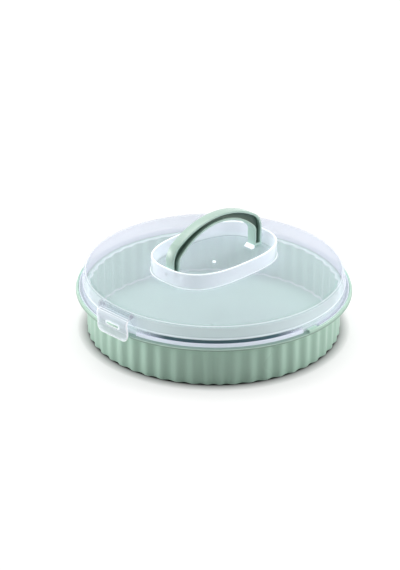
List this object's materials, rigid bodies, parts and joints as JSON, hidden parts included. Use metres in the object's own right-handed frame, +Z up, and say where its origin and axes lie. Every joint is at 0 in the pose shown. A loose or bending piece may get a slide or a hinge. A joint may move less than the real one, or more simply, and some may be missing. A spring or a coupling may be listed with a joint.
{
  "type": "cake carrier",
  "caption": "Round cake carrier with a fluted tub, a clear domed lid, an arched handle that folds down into an oval collar, and a hinged side clip that catches a hook on the rim.",
  "frame": {"origin": "middle of the underside of the tub", "axes": "+Z up; the X axis runs along the pins of the handle, with the clip at its -X end; the Y axis runs across the handle"},
  "size_m": [0.3222, 0.32, 0.1439],
  "materials": {
    "tub_green": "moulded, soft gloss, slightly milky",
    "lid_clear": "clear, glossy, with a faint blue cast",
    "handle_green": "moulded, soft gloss",
    "clip_frost": "milky translucent, smooth"
  },
  "bodies": {
    "tub": {"tub": "tub_green"},
    "lid": {"lid": "lid_clear"},
    "handle": {"handle": "handle_green"},
    "clip": {"clip": "clip_frost"}
  },
  "joints": [
    {"name": "lid_lift", "type": "slide", "parent": "tub", "child": "lid", "axis": [0, 0, 1], "range_m": [0, 0.15]},
    {"name": "handle_fold", "type": "hinge", "parent": "lid", "child": "handle", "pos_m": [0, 0, 0.093], "axis": [1, 0, 0], "range_deg": [-90, 90]},
    {"name": "clip_hinge", "type": "hinge", "parent": "lid", "child": "clip", "pos_m": [-0.1545, 0, 0.0751], "axis": [0, 1, 0], "range_deg": [0, 115]}
  ]
}
